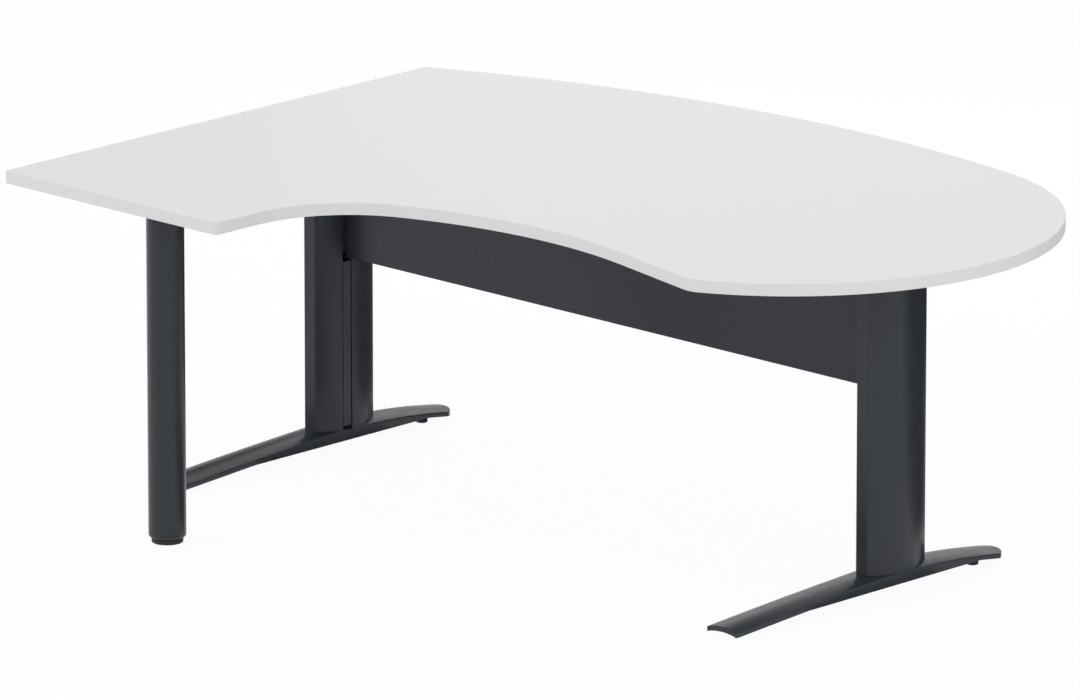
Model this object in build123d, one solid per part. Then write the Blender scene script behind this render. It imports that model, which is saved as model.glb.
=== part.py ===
from build123d import *
import math
import os

# Compact office desk: a freeform worktop on two T-shaped legs and one round post.
# Lengths are millimetres and angles degrees. +Z is up, the user sits at -Y, and X runs
# along the modesty panel. The origin is on the floor under the middle of the worktop's
# outline. Depths are measured from the worktop's front edge, and insets from its sides.

# Worktop outline
overall_length = 1900.0
left_side_depth = 1200.0
return_width = 600.0
end_radius = 550.0
end_centre_depth = 838.0
back_radius = 2470.0
bay_radius = 945.0
bay_corner_radius = 248.0
bay_corner_depth = 118.0
bay_entry_angle = 21.6
bay_exit_angle = 13.6
nose_radius = 60.0
corner_radius = 8.0

# Worktop board
top_height = 720.0
board_thickness = 25.0
edge_band_thickness = 2.0
edge_band_round = 1.0
glue_line = 0.1

# Column section and places
left_column_inset = 88.5
right_column_inset = 282.0
column_axis_depth = 855.5
column_depth = 169.0
column_width = 78.0
column_end_width = 30.0
column_end_round = 3.5
column_wall = 2.0
slot_width = 24.0
slot_forward_offset = 12.8
slot_edge_round = 1.0
channel_depth = 35.0

# Foot
foot_width = 78.0
foot_front_reach = 485.5
foot_rear_reach = 306.5
foot_rear_round = 26.0
foot_side_peak = 41.5
foot_peak_offset = 6.5
foot_arch_radius = 1800.0
foot_arm_radius = 17500.0
foot_arm_angle = 2.5
foot_crown = 6.5
foot_wall = 4.0
foot_edge_round = 3.0
skirt_front_height = 7.5
skirt_middle_height = 19.5
skirt_rear_height = 11.5
skirt_front_flat = 10.0
skirt_front_rise = 205.0
skirt_rear_rise = 84.0
skirt_rear_flat = 26.0

# Foot saddle, base plate and the bolts that join them
seam_gap = 0.2
saddle_length = 130.0
saddle_depth = 10.0
base_plate_top = 58.0
base_plate_clearance = 0.2
foot_bolt_pitch = 100.0
foot_bolt_grip = 22.0

# M8 bolts
bolt_radius = 4.0
bolt_head_radius = 6.5
bolt_head_height = 8.0
bolt_socket_radius = 3.4
bolt_socket_depth = 4.0
bolt_hole_clearance = 0.5

# Support arm under the worktop and its plate on the column
column_plate_thickness = 5.0
arm_length = 480.0
arm_height = 28.0
arm_web_width = 34.0
arm_lip_width = 23.0
arm_sheet = 3.0
arm_end_slope = 45.0
arm_fold_round = 1.0
arm_bolt_pitch = 100.0
arm_bolt_length = 14.0
arm_screw_rows = 2
arm_screw_end_inset = 22.0

# Wood screws
wood_screw_radius = 2.0
wood_screw_length = 18.0
wood_screw_tip = 3.0
wood_screw_head_radius = 4.0
wood_screw_head_height = 2.4
wood_screw_hole_clearance = 0.5
pilot_clearance = 0.1
pilot_end_gap = 1.0

# Cable cover and the spring clips that hold it
cover_recess = 2.0
cover_sheet = 2.0
cover_leg_sheet = 1.5
cover_leg_depth = 12.0
cover_side_gap = 1.3
cover_top_gap = 8.0
cover_foot_gap = 2.0
cover_edge_round = 0.8
clip_sheet = 1.0
clip_height = 18.0
clip_grip_clearance = 0.1
clip_plate_gap = 2.0
clip_count = 3
clip_end_inset = 40.0

# Modesty panel, its brackets and screws
panel_bottom = 405.0
panel_top_gap = 5.0
panel_flange = 11.5
panel_sheet = 1.5
panel_lip = 9.0
panel_fold_round = 1.2
panel_corner_relief = 3.0
panel_seat_recess = 7.5
bracket_sheet = 2.5
bracket_side_clearance = 0.2
bracket_end_inset = 12.0
panel_screw_count = 3
panel_screw_end_inset = 25.0
panel_screw_radius = 2.5
panel_screw_length = 9.0
panel_screw_head_radius = 4.4
panel_screw_head_height = 3.0
panel_screw_socket_radius = 1.6
panel_screw_socket_depth = 1.8
panel_screw_hole_clearance = 0.3

# Levellers: a pad that swivels on the collar of a threaded stem
thread_clearance = 0.05
collar_clearance = 0.1
leveller_seat_gap = 0.3
foot_leveller_inset = 65.0
foot_pad_radius = 12.0
foot_pad_height = 8.0
foot_pad_chamfer = 1.6
foot_stem_radius = 4.0
foot_stem_top = 19.5
foot_collar_radius = 7.0
foot_collar_height = 2.0
foot_insert_radius = 8.0

# Post
post_inset = 352.0
post_depth = 103.0
post_radius = 38.0
post_wall = 2.0
post_end_round = 6.0
post_plate_size = 120.0
post_plate_thickness = 5.0
post_plate_corner = 10.0
post_screw_pitch = 90.0
post_pad_radius = 32.0
post_pad_height = 11.0
post_pad_chamfer = 2.0
post_stem_radius = 5.0
post_stem_top = 52.0
post_collar_radius = 9.0
post_collar_height = 3.0
pad_floor_thickness = 3.0
plug_height = 16.0
plug_web = 4.0
plug_rim = 3.0
plug_hub_radius = 10.0
plug_fit_clearance = 0.1

# How far a cut runs past what it cuts
overrun = 5.0

# Sizes worked out from those above
underside = top_height - board_thickness
half_column = column_width / 2
slot_front = -slot_forward_offset - slot_width / 2
slot_rear = -slot_forward_offset + slot_width / 2
channel_floor = half_column - channel_depth
column_top = underside - arm_height - column_plate_thickness
panel_height = underside - panel_top_gap - panel_bottom
foot_peak = foot_side_peak + foot_crown


def circle_meeting(centre_a, radius_a, centre_b, radius_b, side):
    """Point on both circles, on the left (side 1) or right (side -1) of the way from a to b."""
    reach = math.dist(centre_a, centre_b)
    along = (radius_a**2 - radius_b**2 + reach**2) / (2 * reach)
    across = side * math.sqrt(radius_a**2 - along**2)
    step_x = (centre_b[0] - centre_a[0]) / reach
    step_y = (centre_b[1] - centre_a[1]) / reach
    x = centre_a[0] + along * step_x - across * step_y
    y = centre_a[1] + along * step_y + across * step_x
    return x, y


def back_centre_from_corner():
    """Centre of the back edge's arc, which starts at the left side and blends into the end."""
    end_centre = (overall_length - end_radius, end_centre_depth)
    rear_left = (0, left_side_depth)
    return circle_meeting(rear_left, back_radius, end_centre, back_radius - end_radius, -1)


# Places in the part's own frame
corner_x = -overall_length / 2
corner_y = -(back_centre_from_corner()[1] + back_radius) / 2
left_x = corner_x + left_column_inset
right_x = -corner_x - right_column_inset
column_y = corner_y + column_axis_depth
post_x = corner_x + post_inset
post_y = corner_y + post_depth


def nose_centre(bay_centre, end_centre):
    """Centre of the small arc between the bay's straight run and the round end."""
    angle = math.radians(bay_exit_angle)
    normal = (math.sin(angle), math.cos(angle))
    offset = bay_radius + nose_radius
    start_x = bay_centre[0] + offset * normal[0]
    start_y = bay_centre[1] + offset * normal[1]
    back_x = start_x - end_centre[0]
    back_y = start_y - end_centre[1]
    along = back_x * normal[1] - back_y * normal[0]
    inside = back_x**2 + back_y**2 - (end_radius - nose_radius) ** 2
    travel = -along + math.sqrt(along**2 - inside)
    return start_x + travel * normal[1], start_y - travel * normal[0]


def worktop_arcs():
    """Arcs of the outline in turn, as (centre, signed radius, next arc touches this one).

    The outline runs anticlockwise, so a positive radius bulges out and a negative one in.
    """
    back_x, back_y = back_centre_from_corner()
    back_centre = (corner_x + back_x, corner_y + back_y)
    end_centre = (-corner_x - end_radius, corner_y + end_centre_depth)
    inner_centre = (corner_x + return_width + bay_corner_radius, corner_y + bay_corner_depth)
    entry = math.radians(bay_entry_angle)
    reach = bay_radius - bay_corner_radius
    bay_centre = (
        inner_centre[0] + reach * math.sin(entry),
        inner_centre[1] - reach * math.cos(entry),
    )
    left_line = corner_x + corner_radius
    rise = math.sqrt((back_radius - corner_radius) ** 2 - (left_line - back_centre[0]) ** 2)
    return [
        ((left_line, corner_y + corner_radius), corner_radius, False),
        ((corner_x + return_width - corner_radius, corner_y + corner_radius), corner_radius, False),
        (inner_centre, -bay_corner_radius, True),
        (bay_centre, -bay_radius, False),
        (nose_centre(bay_centre, end_centre), nose_radius, True),
        (end_centre, end_radius, True),
        (back_centre, back_radius, True),
        ((left_line, back_centre[1] + rise), corner_radius, False),
    ]


def shared_point(centre_a, radius_a, centre_b, radius_b):
    """Point where one arc blends straight into a larger or smaller one."""
    if abs(radius_a) > abs(radius_b):
        centre_a, radius_a, centre_b = centre_b, radius_b, centre_a
    reach = math.dist(centre_a, centre_b)
    x = centre_a[0] + (centre_a[0] - centre_b[0]) / reach * abs(radius_a)
    y = centre_a[1] + (centre_a[1] - centre_b[1]) / reach * abs(radius_a)
    return x, y


def tangent_line(centre_a, radius_a, centre_b, radius_b):
    """Ends of the straight run from one arc to the next."""
    reach = math.dist(centre_a, centre_b)
    bearing = math.atan2(centre_b[1] - centre_a[1], centre_b[0] - centre_a[0])
    heading = bearing - math.asin((radius_b - radius_a) / reach)
    normal_x = -math.sin(heading)
    normal_y = math.cos(heading)
    start = (centre_a[0] - normal_x * radius_a, centre_a[1] - normal_y * radius_a)
    end = (centre_b[0] - normal_x * radius_b, centre_b[1] - normal_y * radius_b)
    return start, end


def arc_about(centre, radius, start, end):
    """Arc of less than a half circle from start to end about a centre."""
    middle_x = (start[0] + end[0]) / 2 - centre[0]
    middle_y = (start[1] + end[1]) / 2 - centre[1]
    stretch = abs(radius) / math.hypot(middle_x, middle_y)
    middle = (centre[0] + middle_x * stretch, centre[1] + middle_y * stretch)
    return ThreePointArc(start, middle, end)


def worktop_face(inset):
    """The worktop's outline as a face, drawn in by inset all round."""
    arcs = [(centre, radius - inset, touches) for centre, radius, touches in worktop_arcs()]
    starts = {}
    ends = {}
    edges = []
    for index, (centre, radius, touches) in enumerate(arcs):
        following = (index + 1) % len(arcs)
        next_centre, next_radius, _ = arcs[following]
        if touches:
            point = shared_point(centre, radius, next_centre, next_radius)
            ends[index] = point
            starts[following] = point
        else:
            ends[index], starts[following] = tangent_line(centre, radius, next_centre, next_radius)
            edges.append(Line(ends[index], starts[following]))
    for index, (centre, radius, _) in enumerate(arcs):
        edges.append(arc_about(centre, radius, starts[index], ends[index]))
    return make_face(edges)


def slab(face, bottom, top):
    """A face drawn on the floor plane, raised to stand between two heights."""
    return Pos(0, 0, bottom) * extrude(face, top - bottom)


def block(x_low, x_high, y_low, y_high, z_low, z_high):
    """A rectangular block between the given limits."""
    middle = Pos((x_low + x_high) / 2, (y_low + y_high) / 2, (z_low + z_high) / 2)
    return middle * Box(x_high - x_low, y_high - y_low, z_high - z_low)


def rod(x, y, radius, bottom, top):
    """An upright round bar or bore between two heights."""
    return Pos(x, y, (bottom + top) / 2) * Cylinder(radius, top - bottom)


def wood_screw(x, y, seat):
    """A pan-head wood screw driven up, its head under the seat height."""
    thread_top = seat + wood_screw_length
    cone = Pos(x, y, thread_top - wood_screw_tip / 2) * Cone(wood_screw_radius, 0, wood_screw_tip)
    shank = rod(x, y, wood_screw_radius, seat - wood_screw_head_height, thread_top - wood_screw_tip)
    head = rod(x, y, wood_screw_head_radius, seat - wood_screw_head_height, seat)
    return head + shank + cone


def pilot_hole(x, y, seat):
    """Hole that a wood screw is driven into, a little deeper than the screw."""
    end = seat + wood_screw_length + pilot_end_gap
    return rod(x, y, wood_screw_radius + pilot_clearance, seat - overrun, end)


def clearance_hole(x, y, seat):
    """Hole through sheet metal that a wood screw passes with play."""
    return rod(x, y, wood_screw_radius + wood_screw_hole_clearance, seat - overrun, seat + overrun)


def arm_screw_places():
    """Wood screws of one support arm, as places about the column's axis."""
    reach = arm_length / 2 - arm_screw_end_inset
    pitch = 2 * reach / (arm_screw_rows - 1)
    x = (arm_web_width + arm_lip_width) / 2
    return [(side * x, row * pitch - reach) for row in range(arm_screw_rows) for side in (-1, 1)]


def post_screw_places():
    """Wood screws of the post's plate, as places about the post's axis."""
    half = post_screw_pitch / 2
    return [(side * half, end * half) for side in (-1, 1) for end in (-1, 1)]


def worktop_board():
    """Melamine-faced board with the pilot holes of every wood screw."""
    board = slab(worktop_face(edge_band_thickness + glue_line), underside, top_height)
    arm_seat = underside - arm_sheet
    plate_seat = underside - post_plate_thickness
    holes = [
        pilot_hole(axis_x + x, column_y + y, arm_seat)
        for axis_x in (left_x, right_x)
        for x, y in arm_screw_places()
    ]
    holes += [pilot_hole(post_x + x, post_y + y, plate_seat) for x, y in post_screw_places()]
    return board - holes


def worktop_edge_band():
    """Plastic band glued all round the board's edge."""
    band = slab(worktop_face(0), underside, top_height)
    levels = band.faces().sort_by(Axis.Z)
    band = fillet(levels[0].edges() + levels[-1].edges(), edge_band_round)
    core = slab(worktop_face(edge_band_thickness), underside - overrun, top_height + overrun)
    return band - core


def column_face(inset):
    """The column's lens-shaped outline with flat ends, drawn in by inset."""
    half_depth = column_depth / 2
    bulge = (column_width - column_end_width) / 2
    side_radius = (half_depth**2 + bulge**2) / (2 * bulge)
    side_centre = half_column - side_radius
    end_y = half_depth - inset
    radius = side_radius - inset
    end_x = side_centre + math.sqrt(radius**2 - end_y**2)
    widest = half_column - inset
    face = make_face(
        [
            Line((-end_x, -end_y), (end_x, -end_y)),
            ThreePointArc((end_x, -end_y), (widest, 0), (end_x, end_y)),
            Line((end_x, end_y), (-end_x, end_y)),
            ThreePointArc((-end_x, end_y), (-widest, 0), (-end_x, -end_y)),
        ]
    )
    return fillet(face.vertices(), column_end_round - inset)


def channel_face(margin):
    """The cable channel's section, open at the column's side, grown by margin."""
    x_low = channel_floor - margin
    x_high = half_column + overrun
    depth = slot_width + 2 * margin
    return Pos((x_low + x_high) / 2, -slot_forward_offset) * Rectangle(x_high - x_low, depth)


def foot_line_height(y):
    """Height of the foot's side edge at a place along it."""
    angle = math.radians(foot_arm_angle)
    rear_z = foot_side_peak - foot_arch_radius
    blend_y = foot_peak_offset - foot_arch_radius * math.sin(angle)
    if y > blend_y:
        return rear_z + math.sqrt(foot_arch_radius**2 - (y - foot_peak_offset) ** 2)
    front_y = blend_y + foot_arm_radius * math.sin(angle)
    front_z = rear_z - (foot_arm_radius - foot_arch_radius) * math.cos(angle)
    return front_z + math.sqrt(foot_arm_radius**2 - (y - front_y) ** 2)


def foot_path():
    """The foot's lengthwise curve: a flat arm to the front, bent down to the rear."""
    blend_y = foot_peak_offset - foot_arch_radius * math.sin(math.radians(foot_arm_angle))
    front_y = -foot_front_reach - overrun
    rear_y = foot_rear_reach + overrun
    runs = [(front_y, blend_y), (blend_y, rear_y)]
    arcs = []
    for start_y, end_y in runs:
        stops = (start_y, (start_y + end_y) / 2, end_y)
        arcs.append(ThreePointArc(*[(0, y, foot_line_height(y)) for y in stops]))
    return Wire([edge for arc in arcs for edge in arc.edges()])


def foot_body(inset):
    """The foot's crowned form before its underside is cut, drawn in by inset."""
    path = foot_path()
    half = foot_width / 2 - inset
    low = -foot_peak
    section = make_face(
        [
            ThreePointArc((half, -inset), (0, foot_crown - inset), (-half, -inset)),
            Line((-half, -inset), (-half, low)),
            Line((-half, low), (half, low)),
            Line((half, low), (half, -inset)),
        ]
    )
    if inset <= 0:
        shoulders = section.vertices().filter_by(lambda vertex: vertex.Y > low / 2)
        section = fillet(shoulders, foot_edge_round)
    start = Plane(origin=path @ 0, x_dir=(-1, 0, 0), z_dir=path % 0)
    return sweep(start * section, path)


def foot_plan(inset, front_reach):
    """The foot seen from above, square at the front and rounded at the rear."""
    half = foot_width / 2 - inset
    shoulder = foot_rear_reach - foot_rear_round
    rear = foot_rear_reach - inset
    face = make_face(
        [
            Line((-half, -front_reach), (half, -front_reach)),
            Line((half, -front_reach), (half, shoulder - inset)),
            ThreePointArc((half, shoulder - inset), (0, rear), (-half, shoulder - inset)),
            Line((-half, shoulder - inset), (-half, -front_reach)),
        ]
    )
    return slab(face, -overrun, foot_peak + overrun)


def skirt_cut():
    """What lies under the foot's lower edge."""
    front = -foot_front_reach
    rear = foot_rear_reach
    low = -foot_peak
    points = [
        (front - overrun, low),
        (front - overrun, skirt_front_height),
        (front + skirt_front_flat, skirt_front_height),
        (front + skirt_front_rise, skirt_middle_height),
        (rear - skirt_rear_rise, skirt_middle_height),
        (rear - skirt_rear_flat, skirt_rear_height),
        (rear + overrun, skirt_rear_height),
        (rear + overrun, low),
    ]
    profile = Plane.YZ * make_face(Polyline(*points, close=True))
    return extrude(profile, foot_width, both=True)


def foot_bolt_places():
    """Places of the foot bolts along the foot."""
    return [-foot_bolt_pitch / 2, foot_bolt_pitch / 2]


def foot_shell():
    """The pressed foot: an arched, crowned shell, open below and at its front tip."""
    shell = foot_body(0) & foot_plan(0, foot_front_reach)
    hollow = foot_body(foot_wall) & foot_plan(foot_wall, foot_front_reach + overrun)
    shell = shell - hollow - skirt_cut()
    hole = bolt_radius + bolt_hole_clearance
    return shell - [rod(0, y, hole, 0, foot_peak + overrun) for y in foot_bolt_places()]


def foot_saddle():
    """Plate under the foot's crown that spreads the bolts' pull."""
    half = saddle_length / 2
    bottom = foot_peak - foot_wall - saddle_depth
    blank = block(-foot_width, foot_width, -half, half, bottom, foot_peak)
    saddle = blank & foot_body(foot_wall + seam_gap)
    hole = bolt_radius + bolt_hole_clearance
    return saddle - [rod(0, y, hole, 0, foot_peak + overrun) for y in foot_bolt_places()]


def column():
    """Upright column: a lens-shaped tube with a cable channel, coped onto the foot's crown."""
    section = column_face(0) - (column_face(column_wall) - channel_face(column_wall))
    section = section - channel_face(0)
    reach = (slot_width + column_wall) / 2
    mouth = section.vertices().filter_by(
        lambda vertex: vertex.X > (channel_floor + half_column) / 2
        and abs(vertex.Y + slot_forward_offset) < reach
    )
    section = fillet(mouth, slot_edge_round)
    tube = slab(section, foot_side_peak - overrun, column_top)
    return tube - foot_body(-seam_gap)


def column_base_plate():
    """Thick plate welded inside the column's foot, tapped for the foot bolts."""
    inset = column_wall + base_plate_clearance
    face = column_face(inset) - channel_face(inset)
    plate = slab(face, foot_side_peak - overrun, base_plate_top) - foot_body(-seam_gap)
    hole = bolt_radius + thread_clearance
    return plate - [rod(0, y, hole, 0, base_plate_top + overrun) for y in foot_bolt_places()]


def column_top_plate():
    """Plate welded on the column's top, notched for the cable channel."""
    face = column_face(0) - channel_face(0)
    plate = slab(face, column_top, column_top + column_plate_thickness)
    hole = bolt_radius + thread_clearance
    half = arm_bolt_pitch / 2
    return plate - [rod(0, y, hole, column_top - overrun, underside) for y in (-half, half)]


def socket_bolt(seat, length):
    """An M8 socket screw pointing up, its head under the seat height."""
    head = rod(0, 0, bolt_head_radius, seat - bolt_head_height, seat)
    shank = rod(0, 0, bolt_radius, seat - bolt_head_height, seat + length)
    socket = RegularPolygon(bolt_socket_radius, 6)
    recess = slab(socket, seat - bolt_head_height - overrun, seat - bolt_head_height + bolt_socket_depth)
    return head + shank - recess


def foot_bolts():
    """Two bolts through saddle and foot into the base plate."""
    seat = foot_peak - foot_wall - saddle_depth
    bolt = socket_bolt(seat, foot_bolt_grip)
    return [Pos(0, y, 0) * bolt for y in foot_bolt_places()]


def arm_bolts():
    """Two bolts that hold the support arm down on the column."""
    seat = column_top + column_plate_thickness + arm_sheet
    bolt = Pos(0, 0, seat) * Rot(180, 0, 0) * socket_bolt(0, arm_bolt_length)
    half = arm_bolt_pitch / 2
    return [Pos(0, y, 0) * bolt for y in (-half, half)]


def support_arm():
    """Hat-shaped steel arm: its web on the column, its lips under the worktop."""
    bottom = underside - arm_height
    half_web = arm_web_width / 2
    half_lip = half_web + arm_lip_width
    half_length = arm_length / 2
    points = [
        (-half_lip, underside),
        (-half_lip, underside - arm_sheet),
        (-half_web, underside - arm_sheet),
        (-half_web, bottom),
        (half_web, bottom),
        (half_web, underside - arm_sheet),
        (half_lip, underside - arm_sheet),
        (half_lip, underside),
        (half_web - arm_sheet, underside),
        (half_web - arm_sheet, bottom + arm_sheet),
        (arm_sheet - half_web, bottom + arm_sheet),
        (arm_sheet - half_web, underside),
    ]
    section = make_face(Polyline(*points, close=True))
    skin = arm_sheet / 2
    folds = section.vertices().filter_by(
        lambda vertex: abs(vertex.X) < half_web + skin and vertex.Y < underside - skin
    )
    section = fillet(folds, arm_fold_round)
    upright = Plane(origin=(0, half_length, 0), x_dir=(1, 0, 0), z_dir=(0, -1, 0))
    arm = extrude(upright * section, arm_length)
    rise = arm_height - arm_sheet
    run = rise / math.tan(math.radians(arm_end_slope))
    slope = Plane.YZ * make_face(
        Polyline(
            (half_length + overrun, bottom - overrun),
            (half_length - run - overrun, bottom - overrun),
            (half_length - run, bottom),
            (half_length, underside - arm_sheet),
            (half_length + overrun, underside - arm_sheet),
            close=True,
        )
    )
    wedge = extrude(slope, half_lip, both=True)
    hole = bolt_radius + bolt_hole_clearance
    half = arm_bolt_pitch / 2
    arm = arm - wedge - mirror(wedge, about=Plane.XZ)
    arm = arm - [rod(0, y, hole, bottom - overrun, bottom + overrun) for y in (-half, half)]
    return arm - [clearance_hole(x, y, underside) for x, y in arm_screw_places()]


def arm_wood_screws():
    """Screws through the arm's lips into the board."""
    return [wood_screw(x, y, underside - arm_sheet) for x, y in arm_screw_places()]


def cable_cover():
    """Removable strip, folded to a shallow U, that closes the channel below the panel."""
    outer = half_column - cover_recess
    inner = outer - cover_sheet
    front = slot_front + cover_side_gap
    rear = slot_rear - cover_side_gap
    bottom = foot_peak + cover_foot_gap
    top = panel_bottom - cover_top_gap
    strip = block(inner - cover_leg_depth, outer, front, rear, bottom, top)
    corners = strip.edges().filter_by(Axis.Z).sort_by(Axis.X)[-2:]
    strip = fillet(corners, cover_edge_round)
    legs_inside = (front + cover_leg_sheet, rear - cover_leg_sheet)
    hollow = block(inner - cover_leg_depth - overrun, inner, *legs_inside, bottom - overrun, top + overrun)
    return strip - hollow


def cover_clips():
    """Spring clips fixed to the channel's floor, gripping the cover's legs from inside."""
    front = slot_front + cover_side_gap + cover_leg_sheet + clip_grip_clearance
    rear = slot_rear - cover_side_gap - cover_leg_sheet - clip_grip_clearance
    reach = half_column - cover_recess - cover_sheet - clip_plate_gap
    first = foot_peak + cover_foot_gap + clip_end_inset
    last = panel_bottom - cover_top_gap - clip_end_inset
    pitch = (last - first) / (clip_count - 1)
    clips = []
    for index in range(clip_count):
        low = first + index * pitch - clip_height / 2
        high = low + clip_height
        outer = block(channel_floor, reach, front, rear, low, high)
        inner = block(
            channel_floor + clip_sheet,
            reach + overrun,
            front + clip_sheet,
            rear - clip_sheet,
            low - overrun,
            high + overrun,
        )
        clips.append(outer - inner)
    return clips


def panel_screw_heights():
    """Heights of the screws at each end of the modesty panel."""
    low = panel_bottom + bracket_end_inset + panel_screw_end_inset
    high = column_top - bracket_end_inset - panel_screw_end_inset
    pitch = (high - low) / (panel_screw_count - 1)
    return [low + index * pitch for index in range(panel_screw_count)]


def panel_screw_line():
    """Distance of the panel's end screws behind the column's axis."""
    return -slot_forward_offset + (panel_sheet + panel_flange) / 2


def panel_screw_hole(radius, x, reach, y, z):
    """A hole along X for one of the panel's end screws."""
    return Pos(x, y, z) * Rot(0, 90, 0) * Cylinder(radius, 2 * reach)


def panel_bracket():
    """Folded channel welded inside the column, which the panel's end is screwed to."""
    outer = half_column - panel_seat_recess
    front = slot_front + bracket_side_clearance
    rear = slot_rear - bracket_side_clearance
    bottom = panel_bottom + bracket_end_inset
    top = column_top - bracket_end_inset
    bracket = block(channel_floor, outer, front, rear, bottom, top)
    inside = block(
        channel_floor - overrun,
        outer - bracket_sheet,
        front + bracket_sheet,
        rear - bracket_sheet,
        bottom - overrun,
        top + overrun,
    )
    radius = panel_screw_radius + thread_clearance
    line = panel_screw_line()
    bracket = bracket - inside
    return bracket - [panel_screw_hole(radius, outer, overrun, line, z) for z in panel_screw_heights()]


def panel_screws():
    """Screws through the panel's end flange into the bracket."""
    seat = half_column - panel_seat_recess + panel_sheet
    head_top = seat + panel_screw_head_height
    head = rod(0, 0, panel_screw_head_radius, seat, head_top)
    shank = rod(0, 0, panel_screw_radius, seat - panel_screw_length, head_top)
    socket = RegularPolygon(panel_screw_socket_radius, 6)
    recess = slab(socket, head_top - panel_screw_socket_depth, head_top + overrun)
    screw = Rot(0, 90, 0) * (head + shank - recess)
    return [Pos(0, panel_screw_line(), z) * screw for z in panel_screw_heights()]


def modesty_panel():
    """Folded steel panel between the columns, its edges turned back."""
    end = half_column - panel_seat_recess
    x_low = left_x + end
    x_high = right_x - end
    front = column_y - slot_forward_offset
    rear = front + panel_flange
    top = panel_bottom + panel_height
    panel = block(x_low, x_high, front, rear, panel_bottom, top)
    folds = panel.faces().sort_by(Axis.Y)[0].edges()
    panel = fillet(folds, panel_fold_round)
    inside = block(
        x_low + panel_sheet,
        x_high - panel_sheet,
        front + panel_sheet,
        rear - panel_sheet,
        panel_bottom + panel_sheet,
        top - panel_sheet,
    )
    back = block(
        x_low + panel_sheet,
        x_high - panel_sheet,
        front + panel_flange / 2,
        rear + overrun,
        panel_bottom + panel_lip,
        top - panel_lip,
    )
    panel = panel - inside - back
    radius = panel_screw_radius + panel_screw_hole_clearance
    line = column_y + panel_screw_line()
    notch = Box(2 * panel_corner_relief, rear - front, 2 * panel_corner_relief)
    notch_y = (front + rear) / 2 + panel_corner_relief
    for x in (x_low, x_high):
        panel = panel - [Pos(x, notch_y, z) * notch for z in (panel_bottom, top)]
        panel = panel - [panel_screw_hole(radius, x, overrun, line, z) for z in panel_screw_heights()]
    return panel


def leveller_pad(radius, height, edge_chamfer, stem_radius, collar):
    """Plastic pad with a hollow for the stem's collar, whose radius and height are given."""
    collar_radius, collar_height = collar
    pad = rod(0, 0, radius, 0, height)
    pad = chamfer(pad.edges().filter_by(GeomType.CIRCLE), edge_chamfer)
    hollow_top = pad_floor_thickness + collar_height + 2 * collar_clearance
    hollow = rod(0, 0, collar_radius + collar_clearance, pad_floor_thickness, hollow_top)
    throat = rod(0, 0, stem_radius + collar_clearance, pad_floor_thickness, height + overrun)
    return pad - hollow - throat


def leveller_stem(stem_radius, stem_top, collar):
    """Threaded stem with the collar that turns in the pad."""
    collar_radius, collar_height = collar
    low = pad_floor_thickness + collar_clearance
    flange = rod(0, 0, collar_radius, low, low + collar_height)
    return flange + rod(0, 0, stem_radius, low, stem_top)


def foot_leveller_places():
    """Places of the front and rear levellers along the foot."""
    return {
        "front": foot_leveller_inset - foot_front_reach,
        "rear": foot_rear_reach - foot_leveller_inset,
    }


def foot_inserts():
    """Threaded bosses welded under the crown for the levellers."""
    bottom = foot_pad_height + leveller_seat_gap
    inserts = []
    for y in foot_leveller_places().values():
        boss = rod(0, y, foot_insert_radius, bottom, foot_peak) & foot_body(foot_wall + thread_clearance)
        bore = rod(0, y, foot_stem_radius + thread_clearance, bottom - overrun, foot_stem_top + seam_gap)
        inserts.append(boss - bore)
    return inserts


def post_tube():
    """Round steel post with its lower rim turned in."""
    bottom = post_pad_height + leveller_seat_gap
    top = underside - post_plate_thickness
    tube = rod(0, 0, post_radius, bottom, top)
    rim = tube.edges().sort_by(Axis.Z)[0]
    tube = fillet(rim, post_end_round)
    bore = rod(0, 0, post_radius - post_wall, bottom + post_end_round, top + overrun)
    mouth = rod(0, 0, post_radius - post_end_round, bottom - overrun, bottom + post_end_round + overrun)
    return tube - bore - mouth


def post_top_plate():
    """Square plate welded to the post and screwed under the worktop."""
    outline = RectangleRounded(post_plate_size, post_plate_size, post_plate_corner)
    plate = slab(outline, underside - post_plate_thickness, underside)
    return plate - [clearance_hole(x, y, underside) for x, y in post_screw_places()]


def post_bottom_plug():
    """Plug pressed into the post, with the nut for its leveller."""
    bottom = post_pad_height + leveller_seat_gap + post_end_round
    radius = post_radius - post_wall - plug_fit_clearance
    rim = rod(0, 0, radius, bottom, bottom + plug_height)
    cup = rod(0, 0, radius - plug_rim, bottom + plug_web, bottom + plug_height + overrun)
    hub = rod(0, 0, plug_hub_radius, bottom, bottom + plug_height)
    bore = rod(0, 0, post_stem_radius + thread_clearance, bottom - overrun, bottom + plug_height + overrun)
    return rim - cup + hub - bore


def leg_parts():
    """Every piece of the left leg, about its column's axis, as node name endings."""
    parts = {
        "column": column(),
        "column_top_plate": column_top_plate(),
        "column_base_plate": column_base_plate(),
        "support_arm": support_arm(),
        "arm_bolts": arm_bolts(),
        "arm_wood_screws": arm_wood_screws(),
        "cable_cover": cable_cover(),
        "cover_clips": cover_clips(),
        "panel_bracket": panel_bracket(),
        "panel_screws": panel_screws(),
        "foot": foot_shell(),
        "foot_saddle": foot_saddle(),
        "foot_bolts": foot_bolts(),
        "foot_inserts": foot_inserts(),
    }
    collar = (foot_collar_radius, foot_collar_height)
    pad = leveller_pad(foot_pad_radius, foot_pad_height, foot_pad_chamfer, foot_stem_radius, collar)
    stem = leveller_stem(foot_stem_radius, foot_stem_top, collar)
    for end, y in foot_leveller_places().items():
        parts[f"{end}_leveller_pad"] = Pos(0, y, 0) * pad
        parts[f"{end}_leveller_stem"] = Pos(0, y, 0) * stem
    return parts


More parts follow.
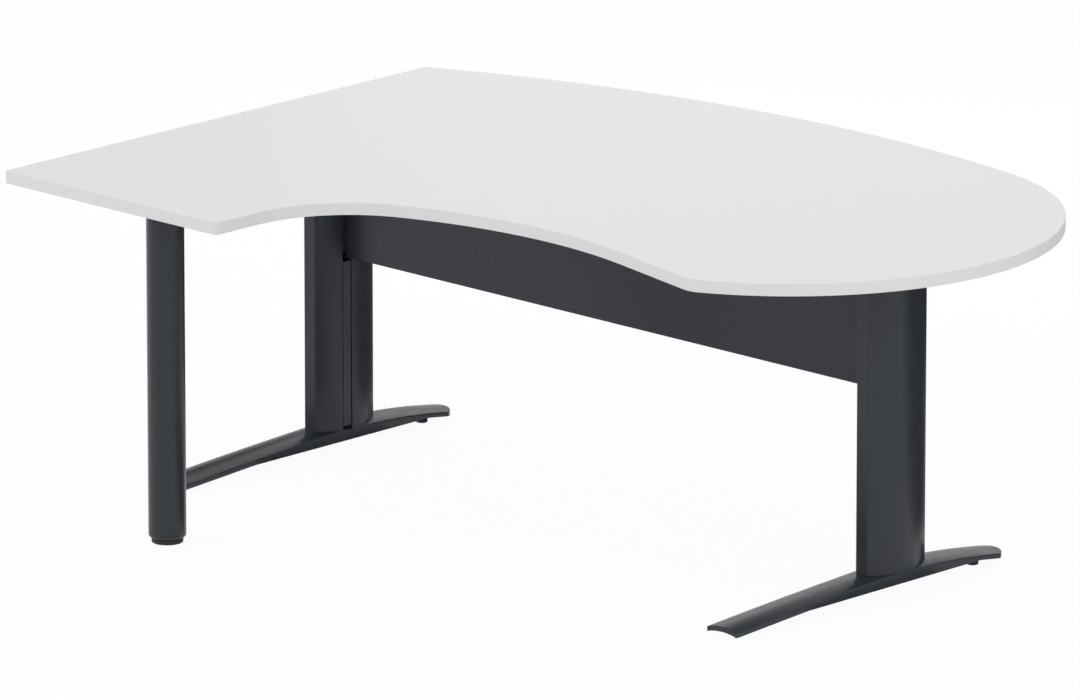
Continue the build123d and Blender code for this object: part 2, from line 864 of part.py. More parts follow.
def post_parts():
    """Every piece of the post, about its own axis."""
    collar = (post_collar_radius, post_collar_height)
    screws = [wood_screw(x, y, underside - post_plate_thickness) for x, y in post_screw_places()]
    return {
        "tube": post_tube(),
        "top_plate": post_top_plate(),
        "wood_screws": screws,
        "bottom_plug": post_bottom_plug(),
        "leveller_pad": leveller_pad(
            post_pad_radius, post_pad_height, post_pad_chamfer, post_stem_radius, collar
        ),
        "leveller_stem": leveller_stem(post_stem_radius, post_stem_top, collar),
    }


def gathered(shape):
    """One shape for a node: a group of like pieces becomes a compound."""
    return Compound(shape) if isinstance(shape, list) else shape


def all_parts():
    """Every node of the desk in the part's own frame."""
    parts = {
        "worktop_board": worktop_board(),
        "worktop_edge_band": worktop_edge_band(),
        "modesty_panel": modesty_panel(),
    }
    for ending, shape in leg_parts().items():
        leg = gathered(shape)
        parts[f"left_{ending}"] = Pos(left_x, column_y, 0) * leg
        parts[f"right_{ending}"] = Pos(right_x, column_y, 0) * mirror(leg, about=Plane.YZ)
    for ending, shape in post_parts().items():
        parts[f"post_{ending}"] = Pos(post_x, post_y, 0) * gathered(shape)
    return parts


os.makedirs("parts", exist_ok=True)
for node, node_shape in all_parts().items():
    export_step(node_shape, f"parts/{node}.step")
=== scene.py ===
import math
import bpy
from mathutils import Matrix, Vector


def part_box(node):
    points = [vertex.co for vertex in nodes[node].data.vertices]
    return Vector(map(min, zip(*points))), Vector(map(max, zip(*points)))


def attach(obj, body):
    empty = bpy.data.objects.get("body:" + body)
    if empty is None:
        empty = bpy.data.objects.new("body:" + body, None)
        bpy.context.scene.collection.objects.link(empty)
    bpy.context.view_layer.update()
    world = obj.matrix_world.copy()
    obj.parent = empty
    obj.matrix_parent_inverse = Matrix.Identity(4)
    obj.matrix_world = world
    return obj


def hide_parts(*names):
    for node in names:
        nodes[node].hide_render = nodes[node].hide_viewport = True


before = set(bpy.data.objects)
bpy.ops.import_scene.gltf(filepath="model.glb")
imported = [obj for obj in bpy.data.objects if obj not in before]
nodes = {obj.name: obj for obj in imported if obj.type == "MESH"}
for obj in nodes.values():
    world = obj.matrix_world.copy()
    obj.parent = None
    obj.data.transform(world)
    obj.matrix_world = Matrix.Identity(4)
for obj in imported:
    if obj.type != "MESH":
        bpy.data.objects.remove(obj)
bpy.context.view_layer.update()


# Materials. Noise scales are in features per metre, and relief depths in metres.

def add_node(tree, kind, **settings):
    """A shader node with its properties and input values set by name."""
    node = tree.nodes.new(kind)
    for key, value in settings.items():
        if hasattr(node, key):
            setattr(node, key, value)
        else:
            node.inputs[key.replace("_", " ")].default_value = value
    return node


def surface(name, roughness, metallic=0.0, specular=0.5):
    """A new material with its principled shader and the piece's own coordinates."""
    material = bpy.data.materials.new(name)
    material.use_nodes = True
    tree = material.node_tree
    shader = tree.nodes["Principled BSDF"]
    shader.inputs["Roughness"].default_value = roughness
    shader.inputs["Metallic"].default_value = metallic
    shader.inputs["Specular IOR Level"].default_value = specular
    shader.inputs["IOR"].default_value = 1.5
    place = tree.nodes.new("ShaderNodeTexCoord").outputs["Object"]
    return material, tree, shader, place


def stretched(tree, place, scale):
    """Coordinates scaled differently along each axis."""
    mapping = add_node(tree, "ShaderNodeMapping")
    mapping.inputs["Scale"].default_value = scale
    tree.links.new(place, mapping.inputs["Vector"])
    return mapping.outputs["Vector"]


def noise(tree, place, scale, detail):
    """Fractal noise in the piece's own space."""
    node = add_node(tree, "ShaderNodeTexNoise", Scale=scale, Detail=detail, Roughness=0.5)
    tree.links.new(place, node.inputs["Vector"])
    return node.outputs["Fac"]


def spread(tree, value, low, high, start=0.3, end=0.7):
    """Maps a value that runs from start to end to a range of numbers."""
    node = add_node(tree, "ShaderNodeMapRange")
    node.inputs["From Min"].default_value = start
    node.inputs["From Max"].default_value = end
    node.inputs["To Min"].default_value = low
    node.inputs["To Max"].default_value = high
    tree.links.new(value, node.inputs["Value"])
    return node.outputs["Result"]


def tinted(tree, shader, grain, shade, dark, light):
    """Base colour that runs from a darker to a lighter tint of a shade as the grain rises."""
    ramp = tree.nodes.new("ShaderNodeValToRGB")
    for element, position, factor in zip(ramp.color_ramp.elements, (0.35, 0.65), (dark, light)):
        element.position = position
        element.color = (*(channel * factor for channel in shade), 1)
    tree.links.new(grain, ramp.inputs["Fac"])
    tree.links.new(ramp.outputs["Color"], shader.inputs["Base Color"])


def roughened(tree, shader, grain, low, high):
    """Roughness that runs from low to high as the grain rises."""
    tree.links.new(spread(tree, grain, low, high), shader.inputs["Roughness"])


def bump(tree, shader, height, strength, distance, under=None):
    """Adds relief of a real depth over any relief already there."""
    node = add_node(tree, "ShaderNodeBump", Strength=strength, Distance=distance)
    tree.links.new(height, node.inputs["Height"])
    if under is not None:
        tree.links.new(under, node.inputs["Normal"])
    tree.links.new(node.outputs["Normal"], shader.inputs["Normal"])
    return node.outputs["Normal"]


def laminate():
    """Light grey melamine with a fine pearl texture."""
    grey = (0.765, 0.765, 0.765)
    material, tree, shader, place = surface("melamine_light_grey", 0.52, specular=0.22)
    tinted(tree, shader, noise(tree, place, 700, 3), grey, 0.985, 1.015)
    roughened(tree, shader, noise(tree, place, 60, 2), 0.49, 0.55)
    pearl = bump(tree, shader, noise(tree, place, 1400, 2), 0.35, 0.00003)
    bump(tree, shader, noise(tree, place, 350, 1), 0.2, 0.00004, pearl)
    return material


def edge_plastic():
    """Light grey edge band: extruded plastic with a fine grain."""
    grey = (0.73, 0.73, 0.732)
    material, tree, shader, place = surface("edge_band_light_grey", 0.5, specular=0.4)
    tinted(tree, shader, noise(tree, place, 500, 3), grey, 0.985, 1.015)
    roughened(tree, shader, noise(tree, place, 90, 2), 0.47, 0.54)
    grain = noise(tree, stretched(tree, place, (1, 1, 2.5)), 1100, 2)
    bump(tree, shader, grain, 0.4, 0.00004)
    return material


def powder_coat():
    """Anthracite powder coat: satin, with the slight orange peel that such paint has."""
    grey = (0.0255, 0.03, 0.037)
    material, tree, shader, place = surface("powder_coat_anthracite", 0.3, specular=0.3)
    tinted(tree, shader, noise(tree, place, 1500, 3), grey, 0.95, 1.05)
    roughened(tree, shader, noise(tree, place, 25, 3), 0.27, 0.33)
    peel = bump(tree, shader, noise(tree, place, 420, 1), 0.25, 0.00005)
    bump(tree, shader, noise(tree, place, 1800, 1), 0.15, 0.00001, peel)
    return material


def extruded_cover():
    """Anthracite plastic strip with faint die lines along its length."""
    grey = (0.03, 0.035, 0.042)
    material, tree, shader, place = surface("cover_plastic_anthracite", 0.48, specular=0.4)
    lines = noise(tree, stretched(tree, place, (1, 1, 0.01)), 900, 2)
    tinted(tree, shader, lines, grey, 0.93, 1.07)
    die = bump(tree, shader, lines, 0.4, 0.00003)
    bump(tree, shader, noise(tree, place, 1300, 2), 0.25, 0.00002, die)
    return material


def moulded_plastic():
    """Black moulded plastic with a spark-eroded texture."""
    black = (0.012, 0.012, 0.013)
    material, tree, shader, place = surface("black_moulded_plastic", 0.58, specular=0.4)
    tinted(tree, shader, noise(tree, place, 800, 3), black, 0.85, 1.25)
    roughened(tree, shader, noise(tree, place, 200, 2), 0.52, 0.64)
    bump(tree, shader, noise(tree, place, 1600, 3), 0.5, 0.00005)
    return material


def zinc():
    """Bright zinc plating with its faint cloudy spangle."""
    grey = (0.56, 0.575, 0.59)
    material, tree, shader, place = surface("zinc_plated_steel", 0.34, metallic=1.0)
    tinted(tree, shader, noise(tree, place, 160, 3), grey, 0.9, 1.06)
    roughened(tree, shader, noise(tree, place, 240, 3), 0.28, 0.42)
    bump(tree, shader, noise(tree, place, 1800, 2), 0.25, 0.00002)
    return material


def black_oxide():
    """Blackened steel with a thin oily sheen."""
    black = (0.028, 0.028, 0.03)
    material, tree, shader, place = surface("blackened_steel", 0.38, metallic=0.6)
    tinted(tree, shader, noise(tree, place, 900, 3), black, 0.8, 1.3)
    roughened(tree, shader, noise(tree, place, 300, 2), 0.32, 0.46)
    bump(tree, shader, noise(tree, place, 1500, 2), 0.3, 0.00002)
    return material


def spring_strip():
    """Rolled spring steel, its grain along the strip."""
    grey = (0.42, 0.425, 0.435)
    material, tree, shader, place = surface("rolled_spring_steel", 0.3, metallic=1.0)
    grain = noise(tree, stretched(tree, place, (1, 1, 0.03)), 2600, 3)
    tinted(tree, shader, grain, grey, 0.88, 1.1)
    roughened(tree, shader, grain, 0.24, 0.38)
    bump(tree, shader, grain, 0.35, 0.00002)
    return material


finishes = {
    "worktop_laminate": laminate(),
    "edge_band": edge_plastic(),
    "frame_paint": powder_coat(),
    "cover_plastic": extruded_cover(),
    "black_plastic": moulded_plastic(),
    "zinc_plate": zinc(),
    "black_screw": black_oxide(),
    "spring_steel": spring_strip(),
}

# The finish of each kind of CAD node, by the end of its name. All others are painted.
FINISH_BY_ENDING = {
    "worktop_board": "worktop_laminate",
    "worktop_edge_band": "edge_band",
    "cable_cover": "cover_plastic",
    "cover_clips": "spring_steel",
    "panel_screws": "black_screw",
    "leveller_pad": "black_plastic",
    "bottom_plug": "black_plastic",
    "arm_bolts": "zinc_plate",
    "foot_bolts": "zinc_plate",
    "wood_screws": "zinc_plate",
    "foot_inserts": "zinc_plate",
    "leveller_stem": "zinc_plate",
}


def finish_of(node):
    """The finish of a CAD node, by what kind of piece it is."""
    for ending, slot in FINISH_BY_ENDING.items():
        if node.endswith(ending):
            return slot
    return "frame_paint"


for name, node in nodes.items():
    node.data.materials.clear()
    node.data.materials.append(finishes[finish_of(name)])


# Turned and threaded pieces. Their levels and outlines are in metres.

SIDES = 48

# How far a turned piece stays inside the solid that it replaces.
INSET = 0.00002


def hexagon(across_corners):
    """Outline of a hexagon as a function of the angle."""
    flat = across_corners / 2 * math.cos(math.pi / 6)

    def reach(angle):
        return flat / math.cos((angle + math.pi / 6) % (math.pi / 3) - math.pi / 6)

    return reach


def cross(arm, half_width):
    """Outline of a cross recess as a function of the angle."""

    def reach(angle):
        turn = abs((angle + math.pi / 4) % (math.pi / 2) - math.pi / 4)
        if math.tan(turn) <= half_width / arm + 1e-6:
            return arm / math.cos(turn)
        return half_width / math.sin(turn)

    return reach


def knurl(radius, depth):
    """Outline of a straight-knurled head as a function of the angle."""

    def reach(angle):
        return radius - depth * (round(angle / (2 * math.pi) * SIDES) % 2)

    return reach


def resized(outline, factor):
    """The same outline, smaller or larger."""
    return lambda angle: outline(angle) * factor


def ring(radius, height):
    """One level of a turned piece. The radius is a number or a function of the angle."""
    level = []
    for index in range(SIDES):
        angle = 2 * math.pi * index / SIDES
        reach = radius(angle) if callable(radius) else radius
        level.append((reach * math.cos(angle), reach * math.sin(angle), height))
    return level


def rings(*levels):
    """Several levels, each from its radius and height."""
    return [ring(radius, height) for radius, height in levels]


def thread(radius, depth, pitch, low, high, rows=6):
    """Levels of a screw thread between two heights, running out at both ends."""
    count = max(2, round((high - low) / pitch * rows))
    levels = []
    for step in range(count + 1):
        height = low + (high - low) * step / count
        room = min(1.0, step / rows, (count - step) / rows)

        def reach(angle, height=height, room=room):
            phase = (height / pitch - angle / (2 * math.pi)) % 1.0
            return radius - depth * (1 - room) - depth * room * abs(2 * phase - 1)

        levels.append(ring(reach, height))
    return levels


def rounded(radius, low, high, edge, steps=4):
    """Levels of a disc whose two rims are rounded."""
    lower = []
    upper = []
    for step in range(steps + 1):
        turn = math.pi / 2 * step / steps
        sine = edge * math.sin(turn)
        cosine = edge * math.cos(turn)
        lower.append(ring(radius - edge + sine, low + edge - cosine))
        upper.append(ring(radius - edge + cosine, high - edge + sine))
    return lower + upper


def turned(levels):
    """Points and faces of a piece from its levels, closed at both ends."""
    points = [point for level in levels for point in level]
    faces = []
    for step in range(len(levels) - 1):
        low = step * SIDES
        high = low + SIDES
        for index in range(SIDES):
            following = (index + 1) % SIDES
            faces.append((low + index, low + following, high + following, high + index))
    for level, turn in ((0, -1), (len(levels) - 1, 1)):
        start = level * SIDES
        points.append((0.0, 0.0, levels[level][0][2]))
        tip = len(points) - 1
        for index in range(SIDES):
            pair = (start + index, start + (index + 1) % SIDES)
            faces.append((*pair[::turn], tip))
    return points, faces


def wood_screw():
    """Pan head with a cross recess, and a coarse thread up to the point. Its seat is at zero."""
    recess = cross(0.0021, 0.00056)
    head = rings(
        (resized(recess, 0.45), -0.0010),
        (resized(recess, 0.8), -0.0016),
        (recess, -0.00236),
        (0.0030, -0.00236),
        (0.0035, -0.0021),
        (0.0038, -0.0016),
        (0.004, -0.0009),
        (0.004, -0.0001),
        (0.0039, 0.0),
        (0.00196, 0.0),
    )
    body = thread(0.00198, 0.00052, 0.0018, 0.0008, 0.015)
    point = rings((0.00146, 0.0152), (0.001, 0.0164), (0.0004, 0.0177), (0.0001, 0.0179))
    return turned(head + body + point)


def socket_bolt(length):
    """M8 socket screw pointing up, with its head under zero."""
    socket = hexagon(0.0068)
    grip = knurl(0.00648, 0.00014)
    head = rings(
        (resized(socket, 0.4), -0.0038),
        (socket, -0.0042),
        (socket, -0.0078),
        (resized(socket, 1.08), -0.00798),
        (0.0058, -0.00798),
        (0.0064, -0.0073),
        (grip, -0.0069),
        (grip, -0.0011),
        (0.0064, -0.0006),
        (0.0062, 0.0),
        (0.00398, 0.0),
        (0.00398, 0.0006),
    )
    body = thread(0.00398, 0.0006, 0.00125, 0.001, length - 0.0008)
    return turned(head + body + rings((0.003, length - 0.0001)))


def button_screw():
    """Button-head screw with its head above zero and its shank below."""
    socket = hexagon(0.0032)
    shank = rings((0.0019, -0.0088)) + thread(0.00248, 0.0004, 0.0008, -0.0085, -0.0005)
    head = rings((0.00248, 0.0), (0.0043, 0.0), (0.00438, 0.0002))
    for step in range(5):
        turn = math.radians(12 + step * 15)
        head.append(ring(0.00438 * math.cos(turn * 0.72), 0.0029 * math.sin(turn) ** 0.8))
    head += rings(
        (resized(socket, 1.1), 0.00296),
        (socket, 0.0028),
        (socket, 0.0013),
        (resized(socket, 0.4), 0.0010),
    )
    return turned(shank + head)


def leveller_stem(radius, pitch, top, collar_radius, collar_height, low):
    """Threaded stem on a collar that turns in the pad."""
    collar_top = low + collar_height
    levels = rounded(collar_radius - INSET, low + INSET, collar_top - INSET, 0.0004, 2)
    levels.append(ring(radius - 0.0006, collar_top))
    levels += thread(radius - INSET, radius * 0.14, pitch, collar_top + 0.0003, top - 0.0004)
    levels.append(ring(radius * 0.78, top - 0.00005))
    return turned(levels)


def leveller_pad(radius, height, edge, throat, hollow, hollow_top, hollow_bed):
    """Moulded pad: rounded rims, a parting groove, and a hollow that holds the collar."""
    groove = height * 0.52
    cut = 0.00025
    wall = throat + 0.0001
    rims = rounded(radius - INSET, 0.0, height - INSET, edge)
    half = len(rims) // 2
    levels = rings((radius * 0.55, 0.0006), (radius * 0.6, 0.0001), (radius * 0.62, 0.0))
    levels += rims[:half]
    levels += rings((radius, groove - cut), (radius - cut, groove), (radius, groove + cut))
    levels += rims[half:]
    levels += rings(
        (throat + 0.0012, height - INSET),
        (wall, height - 0.0006),
        (wall, hollow_top),
        (hollow, hollow_top),
        (hollow, hollow_bed),
        (hollow * 0.5, hollow_bed),
    )
    return turned(levels)


# Pieces that stand for CAD nodes or add to them.

SHARP_ANGLE = math.radians(32)


def mesh_object(name, points, faces, material):
    """A new object of the scene from its points and faces."""
    mesh = bpy.data.meshes.new(name)
    mesh.from_pydata(points, [], faces)
    mesh.materials.append(material)
    piece = bpy.data.objects.new(name, mesh)
    bpy.context.scene.collection.objects.link(piece)
    return piece


def add_part(name, points, faces, finish, body):
    """A smooth piece of the desk with sharp edges, which rides on a body of the frame."""
    piece = mesh_object(name, points, faces, finishes[finish])
    piece.data.validate()
    piece.data.shade_smooth()
    piece.data.set_sharp_from_angle(angle=SHARP_ANGLE)
    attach(piece, body)
    return piece


def add_copies(name, form, places, finish, body, replaced, flip=False):
    """One object with a copy of the form at each place, standing for a CAD node."""
    points, faces = form
    all_points = []
    all_faces = []
    for place in places:
        move = Matrix.Translation(place)
        if flip:
            move = move @ Matrix.Rotation(math.pi, 4, "X")
        first = len(all_points)
        all_points += [tuple(move @ Vector(point)) for point in points]
        all_faces += [tuple(first + corner for corner in face) for face in faces]
    piece = add_part(name, all_points, all_faces, finish, body)
    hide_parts(replaced)


def middle_of(node):
    """Centre of a CAD node's box."""
    low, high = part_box(node)
    return (low + high) / 2


def fasten(name, form, node, across, along, height, flip=False):
    """Zinc-plated fasteners of the frame, set out about the middle of the node they stand for."""
    centre = middle_of(node)
    places = [(centre.x + x, centre.y + y, height) for x in across for y in along]
    add_copies(name, form, places, "zinc_plate", "desk_frame", node, flip)


ARM_SHEET = 0.003
POST_PLATE = 0.005
SOCKET_HEAD = 0.008
ARM_SCREWS_ACROSS = (-0.0285, 0.0285)
ARM_SCREWS_ALONG = (-0.218, 0.218)
BOLTS_ALONG = (-0.05, 0.05)
POST_SCREWS = (-0.045, 0.045)


def fasten_frame():
    """Screws into the worktop, and bolts of the arms and feet."""
    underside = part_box("worktop_board")[0].z
    arm_lip = underside - ARM_SHEET
    arm_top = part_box("left_column_top_plate")[1].z + ARM_SHEET
    screw = wood_screw()
    arm_bolt = socket_bolt(0.014)
    foot_bolt = socket_bolt(0.022)
    for side in ("left", "right"):
        node = f"{side}_arm_wood_screws"
        fasten(f"{side}_arm_screws", screw, node, ARM_SCREWS_ACROSS, ARM_SCREWS_ALONG, arm_lip)
        node = f"{side}_arm_bolts"
        fasten(f"{side}_arm_socket_bolts", arm_bolt, node, (0.0,), BOLTS_ALONG, arm_top, True)
        node = f"{side}_foot_bolts"
        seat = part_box(node)[0].z + SOCKET_HEAD
        fasten(f"{side}_foot_socket_bolts", foot_bolt, node, (0.0,), BOLTS_ALONG, seat)
    post_lip = underside - POST_PLATE
    fasten("post_plate_screws", screw, "post_wood_screws", POST_SCREWS, POST_SCREWS, post_lip)


BUTTON_HEAD_HEIGHT = 0.003
BUTTON_HEAD_RADIUS = 0.0044


def fasten_panel(side, outward):
    """The three screws through one end of the modesty panel."""
    node = f"{side}_panel_screws"
    low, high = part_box(node)
    seat = high.x - BUTTON_HEAD_HEIGHT if outward > 0 else low.x + BUTTON_HEAD_HEIGHT
    points, faces = button_screw()
    turn = Matrix.Rotation(outward * math.pi / 2, 4, "Y")
    form = ([tuple(turn @ Vector(point)) for point in points], faces)
    first = low.z + BUTTON_HEAD_RADIUS
    last = high.z - BUTTON_HEAD_RADIUS
    along = middle_of(node).y
    places = [(seat, along, height) for height in (first, (first + last) / 2, last)]
    add_copies(f"{side}_panel_button_screws", form, places, "black_screw", "desk_frame", node)


def fit_leveller(start, pad, stem):
    """Pad and stem of one leveller, on the floor under the middle of their nodes."""
    pad_node = f"{start}_leveller_pad"
    stem_node = f"{start}_leveller_stem"
    centre = middle_of(pad_node)
    place = [(centre.x, centre.y, 0.0)]
    add_copies(f"{start}_glide", pad, place, "black_plastic", f"{start}_pad", pad_node)
    add_copies(f"{start}_spindle", stem, place, "zinc_plate", f"{start}_stem", stem_node)


def fit_levellers():
    """The feet's four small levellers and the post's large one."""
    foot_pad = leveller_pad(
        radius=0.012,
        height=0.008,
        edge=0.0018,
        throat=0.004,
        hollow=0.0071,
        hollow_top=0.0052,
        hollow_bed=0.003,
    )
    foot_stem = leveller_stem(
        radius=0.004,
        pitch=0.00125,
        top=0.0195,
        collar_radius=0.007,
        collar_height=0.002,
        low=0.0031,
    )
    for side in ("left", "right"):
        for end in ("front", "rear"):
            fit_leveller(f"{side}_{end}", foot_pad, foot_stem)
    post_pad = leveller_pad(
        radius=0.032,
        height=0.011,
        edge=0.0024,
        throat=0.005,
        hollow=0.0091,
        hollow_top=0.0062,
        hollow_bed=0.003,
    )
    post_stem = leveller_stem(
        radius=0.005,
        pitch=0.0015,
        top=0.052,
        collar_radius=0.009,
        collar_height=0.003,
        low=0.0031,
    )
    fit_leveller("post", post_pad, post_stem)


NOSE_HALF_WIDTH = 0.035
NOSE_STATIONS = 24
NOSE_LOW = 0.0075
NOSE_RISE = 0.0045
NOSE_SWELL = 0.0009
NOSE_SHEET = 0.0024
NOSE_LIP = 0.012
NOSE_ROUND = 0.0028


def crown_underside(across):
    """Height of the inside of a foot's crown at its front end."""
    return 0.0203 - 2.667 * across ** 2 - 1975 * across ** 4


def nose_profile(across, front):
    """Closed section of the turned-in front end at a distance from the foot's middle."""
    arch = 1 - (across / NOSE_HALF_WIDTH) ** 2
    top = crown_underside(across)
    low = NOSE_LOW + NOSE_RISE * arch
    face = front - NOSE_SWELL * arch
    section = [(front + 0.0002, top), (face, top - 0.0014)]
    for step in range(6):
        turn = math.pi / 2 * step / 5
        reach = 1 - math.cos(turn)
        drop = 1 - math.sin(turn)
        section.append((face + NOSE_ROUND * reach, low + NOSE_ROUND * drop))
    back = front + NOSE_LIP
    section += [
        (back, low),
        (back + 0.0008, low + 0.0006),
        (back + 0.0008, low + NOSE_SHEET - 0.0006),
        (back, low + NOSE_SHEET),
        (face + NOSE_ROUND + 0.001, low + NOSE_SHEET),
        (face + NOSE_SHEET, low + NOSE_ROUND + 0.001),
        (front + NOSE_SHEET, top),
    ]
    return section


def foot_nose(side):
    """Front end of a foot, turned in under its crown so that only a shallow arch stays open."""
    shell_low, shell_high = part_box(f"{side}_foot")
    centre = (shell_low.x + shell_high.x) / 2
    points = []
    faces = []
    for step in range(NOSE_STATIONS + 1):
        across = NOSE_HALF_WIDTH * (2 * step / NOSE_STATIONS - 1)
        section = nose_profile(across, shell_low.y)
        points += [(centre + across, y, z) for y, z in section]
    size = len(section)
    for step in range(NOSE_STATIONS):
        for index in range(size):
            here = step * size + index
            following = step * size + (index + 1) % size
            faces.append((here, here + size, following + size, following))
    faces.append(tuple(range(size)))
    faces.append(tuple(reversed(range(NOSE_STATIONS * size, (NOSE_STATIONS + 1) * size))))
    add_part(f"{side}_foot_nose", points, faces, "frame_paint", "desk_frame")


fasten_frame()
fasten_panel("left", 1)
fasten_panel("right", -1)
fit_levellers()
foot_nose("left")
foot_nose("right")


# Floor, surroundings, lamps and camera, in metres and watts.

FLOOR_HALF = 60.0
FLOOR_HEIGHT = -0.0004
FLOOR_GLOW = 0.95
SKY_LIGHT = 0.85
SHADE_SHEET_HEIGHT = 0.002

# Corners of each dark sheet that lies on the floor, seen from above. They are painted shade: dark
# floor that only reflections show, standing in for the desk's shadow on the floor around the feet
# and under the desk.
FLOOR_SHADE_SHEETS = (
    ((-0.93, 0.56), (-0.81, 0.52), (-0.70, 0.42), (-0.1, 0.95), (0.3, 2.8), (-1.9, 2.9)),
    ((0.58, 0.62), (0.84, 0.52), (3.6, 2.9), (-0.3, 3.3)),
    ((-0.93, -0.34), (-0.93, 0.42), (-2.6, 2.2), (-3.0, 2.05), (-1.25, 0.05)),
    ((-0.54, -0.50), (0.60, -0.40), (0.60, -0.12), (0.30, 0.0), (-0.35, 0.15), (-0.47, 0.0)),
    ((-0.80, -0.08), (-0.74, -0.08), (-0.74, 0.30), (-0.80, 0.30)),
    ((0.73, -0.08), (0.79, -0.08), (0.79, 0.30), (0.73, 0.30)),
)

# Upright dark cards, painted shade in the surroundings that only reflections show: their two ends
# seen from above, then their lower and upper heights.
UPRIGHT_SHADE_CARDS = (
    ((3.6, 2.9), (-0.3, 3.3), 0.002, 2.2),
    ((-1.0, 6.5), (-5.0, 3.0), 0.9, 3.4),
    ((-5.0, 3.0), (-5.6, 1.0), 0.9, 3.4),
)

# Name, place, point it faces, width, height and power of each lamp.
LAMPS = (
    ("top_softbox", (-0.6, -0.2, 4.2), (0, 0, 0.6), 4.0, 4.0, 15),
    ("left_softbox", (-4.2, -3.4, 2.2), (0, 0, 0.4), 2.0, 3.0, 30),
    ("right_softbox", (4.5, -1.8, 1.9), (0, 0, 0.4), 2.0, 3.0, 20),
    ("rear_softbox", (-1.75, 3.15, 1.4), (-0.1, 0.3, 0.1), 3.3, 1.0, 15.5),
)

SENSOR_WIDTH = 36.0
FOCAL_LENGTH = 443.134
CAMERA_PLACE = (17.640244, -18.467544, 7.279975)
CAMERA_RIGHT = (0.720190, 0.693777, 0.0000645)
CAMERA_UP = (-0.180757, 0.187549, 0.965480)
CAMERA_FORWARD = (-0.669816, 0.695341, -0.260476)


def seen_by(tree, first, *others):
    """One for rays of any of these kinds, and zero for all other rays."""
    path = tree.nodes.new("ShaderNodeLightPath")
    seen = path.outputs[first]
    for kind in others:
        either = add_node(tree, "ShaderNodeMath", operation="MAXIMUM")
        tree.links.new(seen, either.inputs[0])
        tree.links.new(path.outputs[kind], either.inputs[1])
        seen = either.outputs[0]
    return seen


def mixed(tree, share, first, second):
    """Mix of two shaders, the second by its share."""
    mix = tree.nodes.new("ShaderNodeMixShader")
    tree.links.new(share, mix.inputs[0])
    tree.links.new(first, mix.inputs[1])
    tree.links.new(second, mix.inputs[2])
    return mix.outputs[0]


def floor_material():
    """White that keeps a faint shadow and is clear from below."""
    material = bpy.data.materials.new("studio_floor")
    material.use_nodes = True
    tree = material.node_tree
    tree.nodes.remove(tree.nodes["Principled BSDF"])
    matte = add_node(tree, "ShaderNodeBsdfDiffuse", Color=(0.86, 0.86, 0.86, 1))
    glow = add_node(tree, "ShaderNodeEmission", Color=(1, 1, 1, 1), Strength=1.0)
    clear = add_node(tree, "ShaderNodeBsdfTransparent")
    share = add_node(tree, "ShaderNodeMath", operation="MULTIPLY")
    share.inputs[1].default_value = FLOOR_GLOW
    tree.links.new(seen_by(tree, "Is Camera Ray", "Is Glossy Ray"), share.inputs[0])
    above = mixed(tree, share.outputs[0], matte.outputs[0], glow.outputs[0])
    side = tree.nodes.new("ShaderNodeNewGeometry")
    both = mixed(tree, side.outputs["Backfacing"], above, clear.outputs[0])
    tree.links.new(both, tree.nodes["Material Output"].inputs["Surface"])
    return material


def floor():
    """Plain white floor."""
    half = FLOOR_HALF
    corners = [(-half, -half, 0), (half, -half, 0), (half, half, 0), (-half, half, 0)]
    piece = mesh_object("floor", corners, [(0, 1, 2, 3)], floor_material())
    piece.location.z = FLOOR_HEIGHT


def sky():
    """Even white surroundings, at a plain level where they light the desk."""
    world = bpy.data.worlds.new("studio")
    bpy.context.scene.world = world
    world.use_nodes = True
    tree = world.node_tree
    background = tree.nodes["Background"]
    background.inputs["Color"].default_value = (1, 1, 1, 1)
    seen = seen_by(tree, "Is Camera Ray", "Is Glossy Ray", "Is Transmission Ray")
    strength = spread(tree, seen, SKY_LIGHT, 1.0, 0.0, 1.0)
    tree.links.new(strength, background.inputs["Strength"])


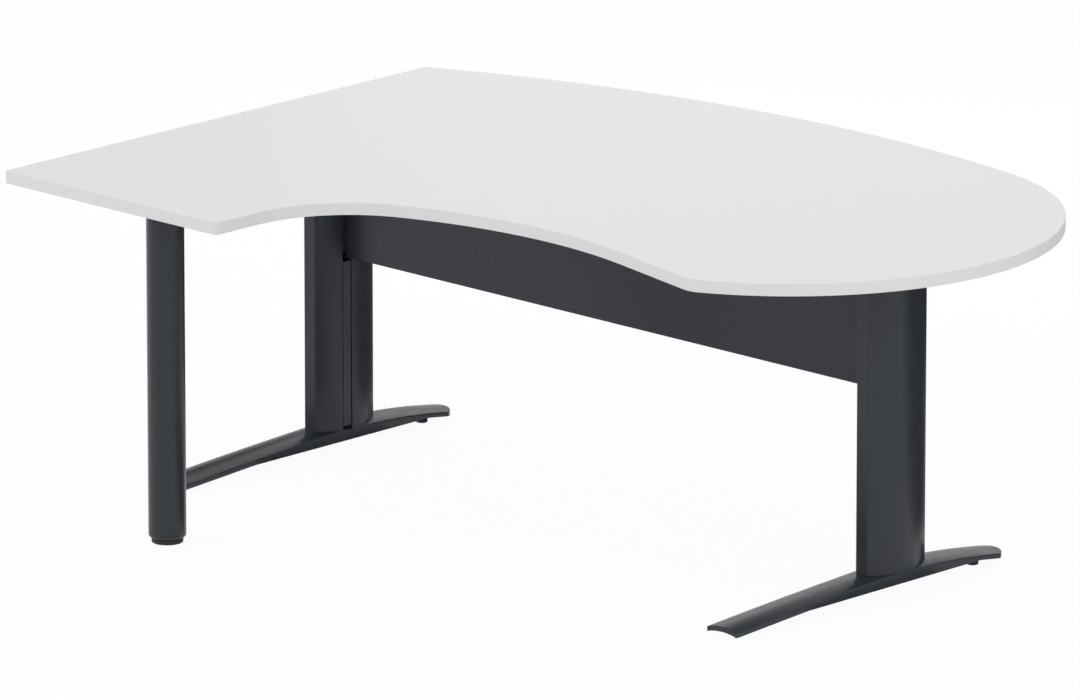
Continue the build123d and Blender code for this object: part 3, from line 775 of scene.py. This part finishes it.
def reflected_shade_material():
    """Near-black matt sheet for the painted shade that only reflections show."""
    material = bpy.data.materials.new("painted_reflection_shade")
    material.use_nodes = True
    shader = material.node_tree.nodes["Principled BSDF"]
    shader.inputs["Base Color"].default_value = (0.02, 0.02, 0.02, 1)
    shader.inputs["Roughness"].default_value = 1.0
    return material


def reflected_shade_sheets():
    """Dark sheets on the floor and upright cards around the desk, which only gloss picks up:
    painted shade in the reflections.
    """
    outlines = [[(x, y, SHADE_SHEET_HEIGHT) for x, y in outline] for outline in FLOOR_SHADE_SHEETS]
    for (x0, y0), (x1, y1), low, high in UPRIGHT_SHADE_CARDS:
        outlines.append([(x0, y0, low), (x1, y1, low), (x1, y1, high), (x0, y0, high)])
    corners = []
    faces = []
    for outline in outlines:
        faces.append(tuple(range(len(corners), len(corners) + len(outline))))
        corners += outline
    shade_sheet = mesh_object("painted_reflection_shade", corners, faces, reflected_shade_material())
    shade_sheet.visible_camera = False
    shade_sheet.visible_diffuse = False
    shade_sheet.visible_shadow = False
    shade_sheet.visible_transmission = False


def softbox(name, place, target, width, height, power):
    """A large rectangular lamp that faces a target point."""
    lamp = bpy.data.lights.new(name, "AREA")
    lamp.shape = "RECTANGLE"
    lamp.size = width
    lamp.size_y = height
    lamp.energy = power
    piece = bpy.data.objects.new(name, lamp)
    bpy.context.scene.collection.objects.link(piece)
    piece.location = place
    piece.visible_camera = False
    piece.rotation_mode = "QUATERNION"
    piece.rotation_quaternion = (Vector(target) - Vector(place)).to_track_quat("-Z", "Y")


def camera():
    """Long lens at the photograph's place: 44 degrees round to the right, 15 degrees up."""
    lens = bpy.data.cameras.new("camera")
    lens.sensor_fit = "HORIZONTAL"
    lens.sensor_width = SENSOR_WIDTH
    lens.lens = FOCAL_LENGTH
    lens.clip_start = 1.0
    lens.clip_end = 400.0
    piece = bpy.data.objects.new("camera", lens)
    bpy.context.scene.collection.objects.link(piece)
    turn = Matrix((Vector(CAMERA_RIGHT), Vector(CAMERA_UP), -Vector(CAMERA_FORWARD))).transposed()
    piece.matrix_world = Matrix.Translation(CAMERA_PLACE) @ turn.to_4x4()
    bpy.context.scene.camera = piece


floor()
sky()
reflected_shade_sheets()
for lamp in LAMPS:
    softbox(*lamp)
camera()
bpy.context.scene.view_settings.view_transform = "Standard"
